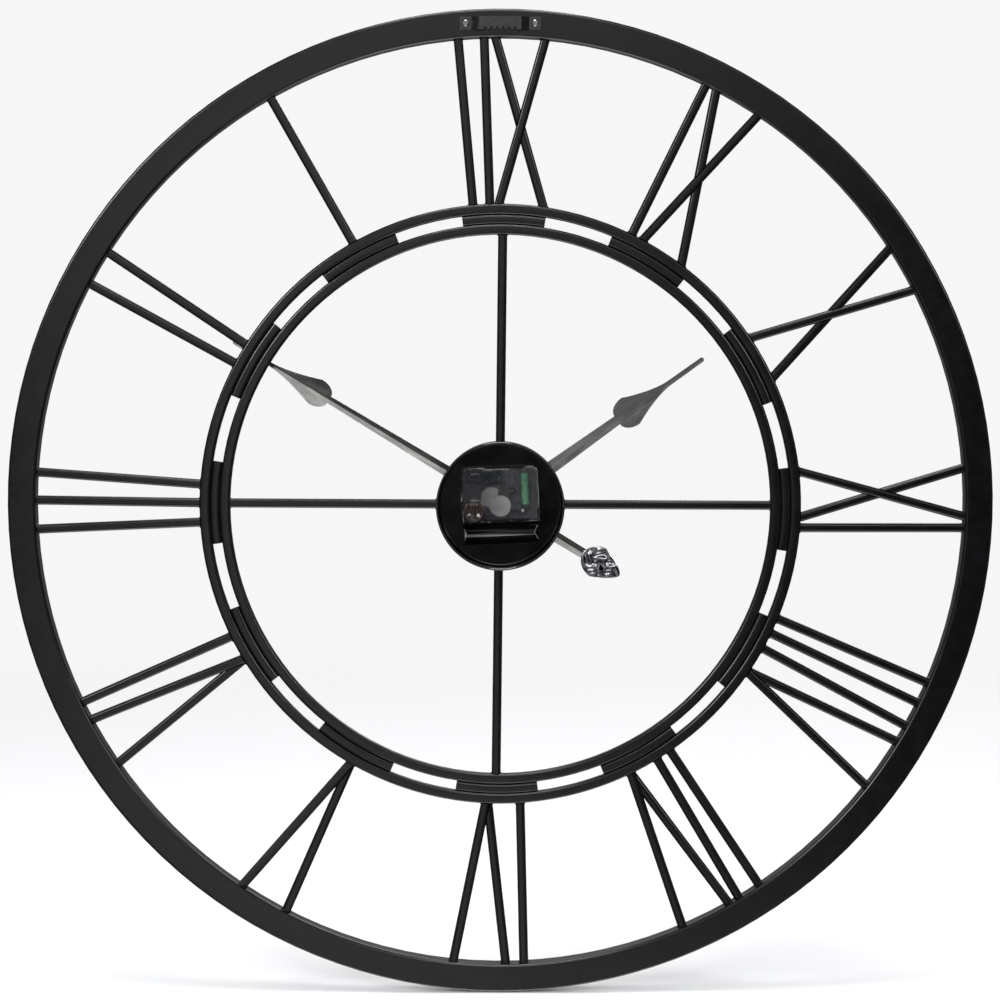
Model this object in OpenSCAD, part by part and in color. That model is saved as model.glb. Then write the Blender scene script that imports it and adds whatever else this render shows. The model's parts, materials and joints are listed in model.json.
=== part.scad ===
// Open-frame wall clock with roman numerals, hub cup, quartz movement and spade hands.
// +Z is up, the dial faces -Y, and the wall is at y = 0 behind the rim.
// The origin is the centre of the rim, on the plane of the rim's rear face.

/* [Rim] */
// Outside diameter of the rim
rim_d = 711; // [600:1:900]
// Width of the rim's flat face
rim_w = 20; // [14:0.5:30]
// Depth of the rim, from rear face to front face
rim_depth = 15; // [12:0.5:24]

/* [Chapter rings] */
// Outside radius of the outer chapter ring
chapter_r = 217.6; // [200:0.1:240]
// Radial width of each chapter ring
ring_w = 7.6; // [5:0.1:9]
// Gap between the two chapter rings
ring_gap = 7; // [5:0.1:9]
// Arc that each hour block fills, in degrees
block_arc = 16.5; // [8:0.5:24]
// Turn of all hour blocks from the hours, in degrees
block_turn = -0.7; // [-3:0.1:3]

/* [Bars] */
// Width of the square bars of the numerals and spokes
bar_w = 6.6; // [5:0.1:8]
// Radius of the bars' rounded edges
bar_edge = 2; // [0.5:0.1:2.4]

/* [Hub cup] */
// Outside diameter of the cup
cup_d = 93; // [90:0.5:110]
// Wall thickness of the cup
cup_wall = 1.4; // [1:0.1:2]
// Distance of the cup's front face from the wall
cup_depth = 22; // [20:0.5:28]

/* [Movement] */
// Side of the square movement
case_w = 56; // [55:0.5:58]
// Turn of the movement in the cup, clockwise from the front, in degrees
case_turn = 2.4; // [-5:0.1:5]
// Diameter of the setting knob
knob_d = 15.2; // [12:0.1:15.6]

/* [Hands] */
// Length of the hour hand from the pivot
hour_len = 183; // [150:1:190]
// Length of the minute hand from the pivot
minute_len = 229; // [200:1:300]
// Hour shown, from 0 to 12
shown_hour = 10; // [0:1:11]
// Minute shown
shown_minute = 9.8; // [0:0.2:59.8]
// How far the hour hand was fitted out of true, in degrees
hour_error = 0.7; // [-3:0.1:3]
// Thickness of the hands' sheet
hand_t = 0.6; // [0.4:0.1:1]
// Slope of each half of a hand away from its ridge, in degrees
hand_slope = 12; // [6:1:16]

/* [Hidden] */
$fn = 96;

satin_black = [0.12, 0.12, 0.13];
gloss_black = [0.04, 0.04, 0.045];
hand_grey = [0.5, 0.5, 0.5];
bright_steel = [0.75, 0.75, 0.77];
brass = [0.75, 0.6, 0.3];
white_plastic = [0.85, 0.85, 0.82];
grey_plastic = [0.2, 0.2, 0.2];

corner_steps = 4;
big_fn = 360;

rim_r = rim_d / 2;
rim_in_r = rim_r - rim_w;
rim_edge = 2;
rod_mid_y = -rim_depth / 2;
ring_edge = 1.8;
ring_depth = 7;
ring_out_in = chapter_r - ring_w;
ring_in_out = ring_out_in - ring_gap;
ring_in_in = ring_in_out - ring_w;
cup_r = cup_d / 2;
cup_lip_y = -0.6;

// hanger: a bent strip with a raised bridge between two screwed tabs
hanger_h = 9.4;
hanger_t = 0.8;
hanger_rise = 2.6;
hanger_mid_z = rim_r - rim_w / 2 - 0.6;
bridge_half = 15;
leg_half = 20.6;
tab_half = 28.8;
tooth_pitch = 4.2;
tooth_depth = 2.6;
tooth_gaps = 6;
screw_x = (leg_half + tab_half) / 2;
screw_r = 1;
screw_hole_r = 1.05;
screw_head_r = 2.5;
screw_head_h = 1.3;
screw_len = 5;

// movement: depths run rearward from its front face
gasket_t = 1;
case_y = -(cup_depth - cup_wall) + gasket_t;
case_depth = 16;
case_r = 3;
case_top_r = 4.5;
case_wall = 1.2;
floor_t = 1.4;
split_d = 8.5;
bay_top = -11.4;
bay_d = 14.6;
bay_r = 7.5;
bay_half = 26.6;
bay_mid_z = (bay_top - case_w / 2) / 2 - 0.1;
bay_axis_d = bay_r + floor_t;
plate_d = 5.2;
plate_t = 0.5;
cover_t = 1.2;
cover_in_d = case_depth - cover_t;
cover_wall = 1;
notch_from = -8.8;
notch_to = 10.6;
notch_depth = 1;
well_r = 8.2;
well_floor_d = 10.6;
well_wall = 1;
stem_r = 1.6;
stem_rear_d = well_floor_d + well_wall + 0.4;
post_r = 1.4;
post_inset = 2.8;
hole_gap = 0.15;
gasket_r = 11;
washer_r = 8;
washer_t = 0.8;
hex_corner_r = 6.6;
hex_t = 2.4;

// arbors and their holes
arbor_r = 0.4;
pivot_gap = 0.05;
pivot_low_d = plate_d + 0.1;
pivot_high_d = 14.6;
boss_r = 1.2;
boss_d = 14;

// shafts at the centre, from the inside out
second_arbor_r = 0.5;
minute_pipe_r = 1.6;
hour_tube_r = 2.5;
bushing_r = 3.95;
bushing_front_y = -(cup_depth + 4.6);
run_gap = 0.05;

// tooth counts and modules of the train
centre_n = 48;
third_pinion_n = 6;
third_n = 45;
second_pinion_n = 6;
second_n = 60;
inter_pinion_n = 8;
inter_n = 32;
rotor_n = 8;
cannon_n = 10;
motion_n = 30;
motion_pinion_n = 8;
hour_n = 32;
setting_n = 18;
centre_m = 0.32;
third_dist = centre_m * (centre_n + third_pinion_n) / 2;
third_m = 2 * third_dist / (third_n + second_pinion_n);
second_m = 0.26;
inter_dist = second_m * (second_n + inter_pinion_n) / 2;
inter_m = 0.3;
rotor_reach = inter_m * (inter_n + rotor_n) / 2;
motion_m = 0.45;
motion_dist = motion_m * (cannon_n + motion_n) / 2;
setting_reach = motion_m * (motion_n + setting_n) / 2;

// places of the axes on the movement, seen from the front
third_at = polar(third_dist, 44.7);
rotor_dist = 13.6;
rotor_turn = 130;
rotor_at = polar(rotor_dist, rotor_turn);
inter_at = polar(inter_dist, rotor_turn - side_angle(inter_dist, rotor_dist, rotor_reach));
knob_at = [19.2, -3.1];
knob_turn = atan2(knob_at.y, knob_at.x);
motion_at = polar(motion_dist, knob_turn + side_angle(motion_dist, norm(knob_at), setting_reach));
third_dir = direction([0, 0], third_at);
inter_dir = direction([0, 0], inter_at);
motion_dir = direction([0, 0], motion_at);

// layers of the train, as front and rear depths
hour_wheel_d = [2, 3];
motion_pinion_d = [1.9, 3.6];
cannon_d = [3.4, 5];
motion_wheel_d = [3.8, 4.6];
setting_d = [3.6, 4.8];
centre_d = [6, 6.8];
third_pinion_d = [5.95, 7.9];
third_d = [8.2, 9];
second_pinion_d = [7.95, 10.6];
second_d = [13.2, 13.9];
inter_pinion_d = [12.9, 13.95];
inter_d = [12.4, 13];
magnet_d = [8.4, 11];
rotor_pinion_d = [12, 13.2];
magnet_r = 2.5;

// motor parts
stator_d = [9.1, 10.3];
core_d = [10.3, 11.5];
coil_x = -18.3;
coil_low_z = -0.3;
coil_high_z = 23.7;
coil_r = 2.9;
flange_r = 3.1;
flange_t = 0.8;
core_w = 3;
core_low_z = -3.3;
core_high_z = 25.9;
bobbin_w = 4;
bobbin_h = 2.2;

// battery contacts and circuit board
contact_t = 0.4;
board_d = [6.4, 7.4];
board_low = [-2, 15.8];
board_high = [24, 26.4];

// hands: distances from the pivot
hour_y = -31;
hour_hub_w = 11.5;
hour_shank_w = 7.2;
hour_leaf = [105, 117, 151];
hour_leaf_w = 23.4;
hour_needle_w = 3.9;
hour_boss_r = 7;
hour_collet_r = 4;
hour_collet_y = -28.4;
minute_y = -35.6;
minute_hub_w = 9.2;
minute_tail_w = 7.4;
minute_shank_w = 5.6;
minute_leaf = [146.5, 158, 197];
minute_leaf_w = 20.6;
minute_needle_w = 3;
minute_boss_r = 6;
minute_tail = 74;
weight_from = 71;
weight_widest = 84.8;
weight_tip = 102.5;
weight_w = 23.8;
weight_t = 2.4;
nut_len = 3;
nut_r = 3.2;
leaf_steps = 12;
boss_t = 1.2;
sheet_reach = 300;
sheet_half = 20;
arbor_front_y = minute_y - hand_t - 0.8;

// the blunt point of a hand: how far it narrows at its shoulder, and its length
tip_step = 0.2;
tip_len = 1.4;
// how far each spoke stands off its own hour line at the cup, then at the ring, clockwise from the top
spoke_lean = [[0, -1.8], [-1.4, -2.2], [-1.2, -3.1], [1.1, 0.4]];

// strokes of each numeral: offset from its hour line at the rim, then at the chapter ring
I = [[-4, -3.2]];
II = [[-17.3, -9.4], [8.7, 6.2]];
III = [[-24.6, -15.9], [-4.3, -2.4], [16.8, 11.8]];
IV = [[-28.1, -15.4], [-13.7, 3.1], [23.4, 3.8]];
V = [[-24.2, -0.6], [12.7, -0.2]];
VI = [[-34.4, -10.8], [3.9, -9], [17.2, 14.5]];
VII = [[-38.7, -15.4], [-1, -15.2], [7.5, 6.5], [25, 17.8]];
VIII = [[-43.6, -15.2], [-4.6, -14.2], [8.5, 5.5], [27.3, 18], [43.5, 29.6]];
IX = [[-15.8, -15.8], [-7.5, 24.9], [27.4, -8]];
X = [[-13.8, 14.9], [20.5, -17.7]];
XI = [[-19.7, 7], [15.1, -25.7], [23.4, 15.9]];
XII = [[-32.2, 0.9], [3.3, -30.8], [11.5, 7.5], [30.1, 19.6]];

function polar(r, a) = [r * cos(a), r * sin(a)];

// angle between sides a and b of a triangle whose third side is c
function side_angle(a, b, c) = acos((a * a + b * b - c * c) / (2 * a * b));

function arc(c, r, from, to, steps = corner_steps) =
    [for (i = [0:steps]) c + polar(r, from + (to - from) * i / steps)];

function round_rect(w, h, r) = concat(
    arc([w / 2 - r, h / 2 - r], r, 0, 90),
    arc([r - w / 2, h / 2 - r], r, 90, 180),
    arc([r - w / 2, r - h / 2], r, 180, 270),
    arc([w / 2 - r, r - h / 2], r, 270, 360));

// turn of wheel b, with n_b teeth, that meshes it with wheel a, from which it lies towards dir
function mesh_turn(n_a, turn_a, dir, n_b) =
    dir + 180 - (0.5 - (dir - turn_a) * n_a / 360) * 360 / n_b;

function direction(from, to) = atan2(to.y - from.y, to.x - from.x);

// ---- shared shapes ----

// a plate drawn as seen from the front, from front_y back to rear_y
module plate(front_y, rear_y) {
    translate([0, rear_y, 0])
        rotate([90, 0, 0])
            linear_extrude(rear_y - front_y)
                children();
}

// the same, placed by depths in the movement and turned with it
module layer(depths) {
    rotate([0, case_turn, 0])
        plate(case_y + depths[0], case_y + depths[1])
            children();
}

// a ring about the clock's axis, from the outline of its section as radius and distance from the wall
module turned() {
    rotate([90, 0, 0])
        rotate_extrude($fn = big_fn)
            children();
}

module round_ring(r_in, r_out, depth, edge) {
    turned()
        translate([(r_in + r_out) / 2, -rod_mid_y])
            polygon(round_rect(r_out - r_in, depth, edge));
}

module sleeve_zone(r_in, r_out, depth) {
    plate(rod_mid_y - depth / 2, rod_mid_y + depth / 2)
        difference() {
            circle(r_out, $fn = big_fn);
            circle(r_in, $fn = big_fn);
        }
}

// a straight bar from p to q in the dial's plane, with rounded or square edges
module bar(p, q, size, edge) {
    translate([p.x, rod_mid_y, p.y])
        rotate([0, -direction(p, q), 0])
            rotate([0, 90, 0])
                linear_extrude(norm(q - p))
                    if (edge > 0)
                        polygon(round_rect(size, size, edge));
                    else
                        square(size + 0.02, center = true);
}

// one stroke of a numeral at twelve o'clock, a little longer than it is cut to
module stroke(offsets, edge) {
    outer = [offsets[0], sqrt(pow(rim_in_r, 2) - pow(offsets[0], 2))];
    inner = [offsets[1], sqrt(pow(chapter_r, 2) - pow(offsets[1], 2))];
    along = (outer - inner) / norm(outer - inner);
    spare = 6;
    bar(inner - along * spare, outer + along * spare, bar_w, edge);
}

// bars cut to the rim and the chapter ring; each is butted against the ones before it
module numeral(hour, strokes) {
    color(satin_black)
        rotate([0, 30 * hour, 0])
            intersection() {
                sleeve_zone(chapter_r, rim_in_r, bar_w + 1);
                for (i = [0:len(strokes) - 1])
                    difference() {
                        stroke(strokes[i], bar_edge);
                        for (j = [0:1:i - 1])
                            stroke(strokes[j], 0);
                    }
            }
}

// one of the four spokes, clockwise from the top
module spoke(number) {
    lean = spoke_lean[number];
    spare = 6;
    color(satin_black)
        rotate([0, 90 * number, 0])
            intersection() {
                sleeve_zone(cup_r, ring_in_in, bar_w + 1);
                bar([lean[0], cup_r - spare], [lean[1], ring_in_in + spare], bar_w, bar_edge);
            }
}

// teeth with straight flanks, narrowed so that a mesh runs with play
module gear(n, m, turn, bore = 0) {
    pitch = PI * m;
    small = n < 15;
    root_r = m * (n / 2 - 1.25);
    tip_r = m * (n / 2 + (small ? 0.75 : 0.9));
    root_half = (small ? 0.17 : 0.27) * pitch / root_r * 180 / PI;
    tip_half = (small ? 0.11 : 0.1) * pitch / tip_r * 180 / PI;
    difference() {
        rotate(turn)
            polygon([for (i = [0:n - 1]) let (a = i * 360 / n) each [
                polar(root_r, a - root_half),
                polar(tip_r, a - tip_half),
                polar(tip_r, a + tip_half),
                polar(root_r, a + root_half)]]);
        if (bore > 0)
            circle(bore, $fn = 48);
    }
}

module disc(at, r, depths) {
    layer(depths)
        translate(at)
            circle(r, $fn = 48);
}

module wheel(at, n, m, turn, depths, bore = 0) {
    layer(depths)
        translate(at)
            gear(n, m, turn, bore);
}

// ---- frame ----

module outer_rim() {
    color(satin_black)
        difference() {
            round_ring(rim_in_r, rim_r, rim_depth, rim_edge);
            for (side = [-1, 1])
                plate(-screw_len, 1)
                    translate([side * screw_x, hanger_mid_z])
                        circle(screw_hole_r, $fn = 32);
        }
}

module chapter_ring_outer() {
    color(satin_black)
        round_ring(ring_out_in, chapter_r, ring_depth, ring_edge);
}

module chapter_ring_inner() {
    color(satin_black)
        round_ring(ring_in_in, ring_in_out, ring_depth, ring_edge);
}

module hour_blocks() {
    color(satin_black)
        for (hour = [1:12])
            rotate([0, 30 * hour + block_turn, 0])
                rotate([90, 0, 0])
                    rotate(90 - block_arc / 2)
                        rotate_extrude(angle = block_arc, $fn = big_fn)
                            translate([(ring_in_out + ring_out_in) / 2, -rod_mid_y])
                                polygon(round_rect(ring_gap, bar_w, bar_edge));
}

module movement_cup() {
    bend = 3;
    inside_bend = bend - cup_wall;
    mid = [cup_r - bend, cup_depth - bend];
    lip = 0.4;
    color(gloss_black)
        turned()
            polygon(concat(
                [[bushing_r + hole_gap, cup_depth]],
                arc(mid, bend, 90, 0),
                [[cup_r, lip - cup_lip_y], [cup_r - lip, -cup_lip_y]],
                [[cup_r - cup_wall + lip, -cup_lip_y], [cup_r - cup_wall, lip - cup_lip_y]],
                arc(mid, inside_bend, 0, 90),
                [[bushing_r + hole_gap, cup_depth - cup_wall]]));
}

// ---- hanger ----

module sawtooth_hanger() {
    t = hanger_t;
    rise = hanger_rise;
    half = [[tab_half, 0], [tab_half, t], [leg_half, t], [bridge_half, rise + t]];
    under = [[bridge_half - t, rise], [leg_half - t, 0]];
    low_z = hanger_mid_z - hanger_h / 2;
    gap_half = tooth_pitch / 2 - 0.3;
    color(satin_black)
        difference() {
            translate([0, 0, low_z])
                linear_extrude(hanger_h)
                    polygon(concat(
                        half,
                        [for (i = [3:-1:0]) [-half[i].x, half[i].y]],
                        [for (i = [1:-1:0]) [-under[i].x, under[i].y]],
                        under));
            for (i = [0:tooth_gaps - 1])
                plate(rise - 1, rise + t + 1)
                    translate([(i - (tooth_gaps - 1) / 2) * tooth_pitch, low_z])
                        polygon([
                            [-gap_half, -1],
                            [-gap_half, 0],
                            [0, tooth_depth],
                            [gap_half, 0],
                            [gap_half, -1]]);
            for (side = [-1, 1])
                plate(-1, t + 1)
                    translate([side * screw_x, hanger_mid_z])
                        circle(screw_hole_r, $fn = 32);
        }
}

module hanger_screws() {
    slot_w = 0.6;
    slot_d = 0.5;
    point = 0.3;
    dome = 0.9;
    head_rear = hanger_t + screw_head_h;
    color(satin_black)
        for (side = [-1, 1])
            difference() {
                translate([side * screw_x, 0, hanger_mid_z])
                    rotate([-90, 0, 0])
                        rotate_extrude($fn = 48)
                            polygon(concat(
                                [[0, point - screw_len], [screw_r - point, point - screw_len],
                                [screw_r, 2 * point - screw_len], [screw_r, hanger_t],
                                [screw_head_r, hanger_t]],
                                arc([screw_head_r - dome, head_rear - dome], dome, 0, 90),
                                [[0, head_rear]]));
                translate([side * screw_x, head_rear, hanger_mid_z])
                    rotate([0, 40 * side, 0])
                        cube([2 * screw_head_r + 1, 2 * slot_d, slot_w], center = true);
            }
}

// ---- movement case ----

// the square outline with its four corners rounded, larger at the top
module case_outline(inset = 0) {
    low_r = case_r - inset / 2;
    top_r = case_top_r - inset / 2;
    half = case_w / 2 - inset;
    polygon(concat(
        arc([half - top_r, half - top_r], top_r, 0, 90),
        arc([top_r - half, half - top_r], top_r, 90, 180),
        arc([low_r - half, low_r - half], low_r, 180, 270),
        arc([half - low_r, low_r - half], low_r, 270, 360)));
}

module upper_area(inset) {
    intersection() {
        case_outline(inset);
        translate([-case_w, bay_top + inset])
            square(2 * case_w);
    }
}

// the cover's outline, with a shallow notch in its top side for the catch
module cover_area(inset) {
    difference() {
        upper_area(inset);
        translate([notch_from - inset, case_w / 2 - notch_depth - inset])
            square([notch_to - notch_from + 2 * inset, 2 * (notch_depth + inset)]);
    }
}

module bay_hollow() {
    rotate([0, case_turn, 0])
        translate([-bay_half, case_y + bay_axis_d, bay_mid_z])
            rotate([0, 90, 0])
                cylinder(h = 2 * bay_half, r = bay_r);
    layer([bay_axis_d, case_depth])
        translate([-bay_half, bay_mid_z - bay_r])
            square([2 * bay_half, 2 * bay_r]);
}

module case_posts(r) {
    corner = case_w / 2 - post_inset;
    for (x = [-corner, corner], z = [bay_top + post_inset, corner])
        translate([x, z])
            circle(r, $fn = 32);
}

module movement_base() {
    color(gloss_black)
        difference() {
            union() {
                difference() {
                    layer([0, split_d])
                        case_outline();
                    layer([floor_t, split_d + 1])
                        upper_area(case_wall);
                }
                layer([0, bay_d])
                    intersection() {
                        case_outline();
                        translate([-case_w / 2, -case_w / 2])
                            square([case_w, bay_top + case_w / 2]);
                    }
                layer([floor_t - 0.1, plate_d])
                    case_posts(post_r);
                layer([floor_t - 0.1, floor_t + post_r])
                    translate(knob_at)
                        circle(post_inset, $fn = 32);
            }
            bay_hollow();
            layer([-1, floor_t + 1])
                circle(bushing_r, $fn = 64);
            disc(knob_at, stem_r + run_gap, [floor_t, case_depth]);
            disc(motion_at, arbor_r + pivot_gap, [0.6, floor_t + 1]);
        }
}

module middle_plate() {
    gap = case_wall + 0.1;
    stator_posts = [[-11.5, 24.8], [-11.5, -2.2]];
    board_posts = [[1, 25], [22.5, 17.5]];
    color(grey_plastic)
        difference() {
            union() {
                layer([plate_d, plate_d + plate_t])
                    upper_area(gap);
                for (at = stator_posts)
                    disc(at, 1.3, [plate_d + 0.1, stator_d[0]]);
                for (at = board_posts)
                    disc(at, 1, [plate_d + 0.1, board_d[0]]);
            }
            for (at = [third_at, inter_at, rotor_at, motion_at])
                disc(at, arbor_r + pivot_gap, [0, case_depth]);
            disc([0, 0], minute_pipe_r + hole_gap, [0, case_depth]);
            disc(knob_at, stem_r + hole_gap, [0, case_depth]);
        }
}

module well_area(r) {
    intersection() {
        union() {
            translate(knob_at)
                circle(r, $fn = 64);
            translate([knob_at.x - r, bay_top - 1])
                square([2 * r, knob_at.y - bay_top + 1]);
        }
        upper_area(0);
    }
}

module rear_cover() {
    color([0.25, 0.25, 0.27, 0.5])
        difference() {
            union() {
                difference() {
                    layer([split_d, case_depth])
                        cover_area(0);
                    layer([split_d - 1, cover_in_d])
                        cover_area(cover_wall);
                }
                layer([well_floor_d, case_depth])
                    well_area(well_r + well_wall);
                for (at = [[0, 0], third_at, inter_at, rotor_at])
                    disc(at, boss_r, [boss_d, cover_in_d + 0.1]);
            }
            layer([well_floor_d + well_wall, case_depth + 1])
                intersection() {
                    well_area(well_r);
                    upper_area(0.4);
                }
            disc(knob_at, stem_r + run_gap, [0, case_depth + 1]);
            disc([0, 0], second_arbor_r + pivot_gap, [boss_d - 1, pivot_high_d + 0.1]);
            for (at = [third_at, inter_at, rotor_at])
                disc(at, arbor_r + pivot_gap, [boss_d - 1, pivot_high_d + 0.1]);
        }
}

// ---- fixing of the movement in the cup ----

module threaded_bushing() {
    color(brass)
        plate(bushing_front_y, case_y + floor_t)
            difference() {
                circle(bushing_r, $fn = 64);
                circle(hour_tube_r + run_gap, $fn = 64);
            }
}

module rubber_gasket() {
    color([0.08, 0.08, 0.08])
        plate(case_y - gasket_t, case_y)
            difference() {
                circle(gasket_r, $fn = 64);
                circle(bushing_r, $fn = 64);
            }
}

module washer() {
    color(brass)
        plate(-cup_depth - washer_t, -cup_depth)
            difference() {
                circle(washer_r, $fn = 64);
                circle(bushing_r, $fn = 64);
            }
}

module hex_nut() {
    color(brass)
        plate(-cup_depth - washer_t - hex_t, -cup_depth - washer_t)
            difference() {
                circle(hex_corner_r, $fn = 6);
                circle(bushing_r, $fn = 64);
            }
}

// ---- motor and circuit ----

module coil_zone(from_z, to_z) {
    rotate([0, case_turn, 0])
        translate([coil_x, case_y + (core_d[0] + core_d[1]) / 2, from_z])
            linear_extrude(to_z - from_z)
                children();
}

module coil_bobbin() {
    slot = [core_w, core_d[1] - core_d[0]];
    color([0.1, 0.1, 0.1])
        difference() {
            union() {
                coil_zone(coil_low_z, coil_high_z)
                    square([bobbin_w, bobbin_h], center = true);
                for (z = [coil_low_z, coil_high_z - flange_t])
                    coil_zone(z, z + flange_t)
                        circle(flange_r, $fn = 48);
            }
            coil_zone(coil_low_z - 1, coil_high_z + 1)
                square(slot, center = true);
        }
}

module coil_winding() {
    color([0.25, 0.5, 0.35])
        coil_zone(coil_low_z + flange_t, coil_high_z - flange_t)
            difference() {
                circle(coil_r, $fn = 48);
                square([bobbin_w, bobbin_h], center = true);
            }
}

module coil_core() {
    color(bright_steel)
        coil_zone(core_low_z, core_high_z)
            square([core_w, core_d[1] - core_d[0]], center = true);
}

module stator() {
    inner_x = -4.6;
    outer_x = coil_x + core_w / 2 + 1.6;
    arm_h = 2;
    slit_w = 3;
    slit_h = 11;
    color(bright_steel)
        difference() {
            layer(stator_d)
                difference() {
                    translate([coil_x - core_w / 2, core_low_z])
                        square([inner_x - coil_x + core_w / 2, core_high_z - core_low_z]);
                    translate([coil_x - core_w, core_low_z + arm_h])
                        square([outer_x - coil_x + core_w, core_high_z - core_low_z - 2 * arm_h]);
                    translate([inner_x - slit_w / 2, core_low_z - 1])
                        square([slit_w, slit_h]);
                }
            disc(rotor_at, magnet_r + 0.4, [0, case_depth]);
        }
}

module circuit_board() {
    notch = [5, 1.2];
    color([0.1, 0.3, 0.15])
        layer(board_d)
            difference() {
                translate(board_low)
                    square(board_high - board_low);
                translate([board_high.x - notch.x, board_low.y - 1])
                    square(notch + [1, 1]);
            }
}

module circuit_chip() {
    at = [8, 21];
    r = 2.8;
    height = 1.1;
    color([0.03, 0.03, 0.03])
        disc(at, r, [board_d[1], board_d[1] + height]);
}

module quartz_crystal() {
    at = [14, 23.5];
    r = 1;
    len = 6.2;
    color(bright_steel)
        rotate([0, case_turn, 0])
            translate([at.x, case_y + board_d[1] + r, at.y])
                rotate([0, 90, 0])
                    cylinder(h = len, r = r, $fn = 32);
}

// a sheet against one end wall of the battery bay, with a raised strip down its middle
module contact_positive() {
    w = 8;
    raised_w = 3.6;
    raised = 0.9;
    x = bay_half - contact_t;
    color(bright_steel)
        layer([4.5, bay_d - 1.5])
            union() {
                translate([x, bay_mid_z - w / 2])
                    square([contact_t, w]);
                translate([x - raised, bay_mid_z - raised_w / 2])
                    square([raised + 0.1, raised_w]);
            }
}

// a strip bowed out from the other end wall
module contact_negative() {
    t = contact_t;
    bow = 3;
    x = -bay_half;
    color(bright_steel)
        layer([5, bay_d - 2])
            polygon([
                [x, bay_mid_z - 5], [x + t, bay_mid_z - 5],
                [x + bow, bay_mid_z], [x + t, bay_mid_z + 5], [x, bay_mid_z + 5],
                [x, bay_mid_z + 5 - t], [x + bow - t, bay_mid_z], [x, bay_mid_z - 5 + t]]);
}

// ---- going train ----

module rotor_magnet() {
    color([0.25, 0.25, 0.27])
        layer(magnet_d)
            translate(rotor_at)
                difference() {
                    circle(magnet_r, $fn = 48);
                    circle(arbor_r, $fn = 32);
                }
}

module rotor_pinion() {
    dir = direction(inter_at, rotor_at);
    color(grey_plastic)
        union() {
            wheel(rotor_at, rotor_n, inter_m, mesh_turn(inter_n, 0, dir, rotor_n), rotor_pinion_d);
            disc(rotor_at, arbor_r, [pivot_low_d, pivot_high_d]);
        }
}

module intermediate_wheel() {
    color(grey_plastic)
        union() {
            wheel(inter_at, inter_n, inter_m, 0, inter_d);
            wheel(inter_at, inter_pinion_n, second_m,
                mesh_turn(second_n, 0, inter_dir, inter_pinion_n), inter_pinion_d);
            disc(inter_at, arbor_r, [pivot_low_d, pivot_high_d]);
        }
}

module second_wheel() {
    color(white_plastic)
        union() {
            wheel([0, 0], second_n, second_m, 0, second_d);
            wheel([0, 0], second_pinion_n, third_m,
                mesh_turn(third_n, 0, third_dir + 180, second_pinion_n), second_pinion_d);
            plate(minute_y, case_y + pivot_high_d)
                circle(second_arbor_r, $fn = 32);
        }
}

module third_wheel() {
    color(white_plastic)
        union() {
            wheel(third_at, third_n, third_m, 0, third_d);
            wheel(third_at, third_pinion_n, centre_m,
                mesh_turn(centre_n, 0, third_dir, third_pinion_n), third_pinion_d);
            disc(third_at, arbor_r, [pivot_low_d, pivot_high_d]);
        }
}

module centre_wheel() {
    color(white_plastic)
        wheel([0, 0], centre_n, centre_m, 0, centre_d, minute_pipe_r);
}

// ---- motion work ----

module minute_arbor() {
    color(brass)
        difference() {
            union() {
                plate(arbor_front_y, case_y + centre_d[1])
                    circle(minute_pipe_r, $fn = 48);
                wheel([0, 0], cannon_n, motion_m, 0, cannon_d);
            }
            plate(minute_y - 0.2, case_y + case_depth)
                circle(second_arbor_r + run_gap, $fn = 32);
        }
}

module motion_wheel() {
    turn = mesh_turn(cannon_n, 0, motion_dir, motion_n);
    color(white_plastic)
        union() {
            wheel(motion_at, motion_n, motion_m, turn, motion_wheel_d);
            wheel(motion_at, motion_pinion_n, motion_m, 0, motion_pinion_d);
            disc(motion_at, arbor_r, [0.7, plate_d + 0.4]);
        }
}

module hour_wheel() {
    turn = mesh_turn(motion_pinion_n, 0, motion_dir + 180, hour_n);
    bore = minute_pipe_r + run_gap;
    color(white_plastic)
        difference() {
            union() {
                wheel([0, 0], hour_n, motion_m, turn, hour_wheel_d);
                plate(hour_y - 0.4, case_y + hour_wheel_d[1])
                    circle(hour_tube_r, $fn = 48);
            }
            plate(hour_y - 1, case_y + case_depth)
                circle(bore, $fn = 48);
        }
}

module setting_stem() {
    dir = direction(motion_at, knob_at);
    turn = mesh_turn(motion_n, mesh_turn(cannon_n, 0, motion_dir, motion_n), dir, setting_n);
    color([0.3, 0.2, 0.17])
        union() {
            wheel(knob_at, setting_n, motion_m, turn, setting_d);
            disc(knob_at, stem_r, [floor_t + 0.1, stem_rear_d]);
        }
}

// a dished knob with a grip bar across it
module setting_knob() {
    r = knob_d / 2;
    low = stem_rear_d;
    high = low + 4.2;
    edge = 0.8;
    rim = 2.2;
    dish = 1.6;
    grip_w = 2.4;
    color([0.3, 0.2, 0.17])
        union() {
            rotate([0, case_turn, 0])
                translate([knob_at.x, case_y, knob_at.y])
                    rotate([-90, 0, 0])
                        rotate_extrude($fn = 96)
                            polygon(concat(
                                [[0, low], [r - edge / 2, low], [r, low + edge / 2]],
                                arc([r - edge, high - edge], edge, 0, 90),
                                [[r - 2 * edge, high], [r - rim, high - dish], [0, high - dish]]));
            layer([low + 1, high + edge])
                translate(knob_at)
                    rotate(90)
                        polygon(round_rect(2 * (r - rim) + edge, grip_w, 1));
        }
}

// ---- hands ----

// half-width of a hand at distance t: a leaf with a round base and hollow flanks
function leaf_half(t, leaf, shank, wide, needle) =
    t < leaf[1]
        ? shank / 2 + (wide - shank) / 2 * sqrt(max(0, 1 - pow((leaf[1] - t) / (leaf[1] - leaf[0]), 2)))
        : needle / 2 + (wide - needle) / 2 * pow((leaf[2] - t) / (leaf[2] - leaf[1]), 1.55);

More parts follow.
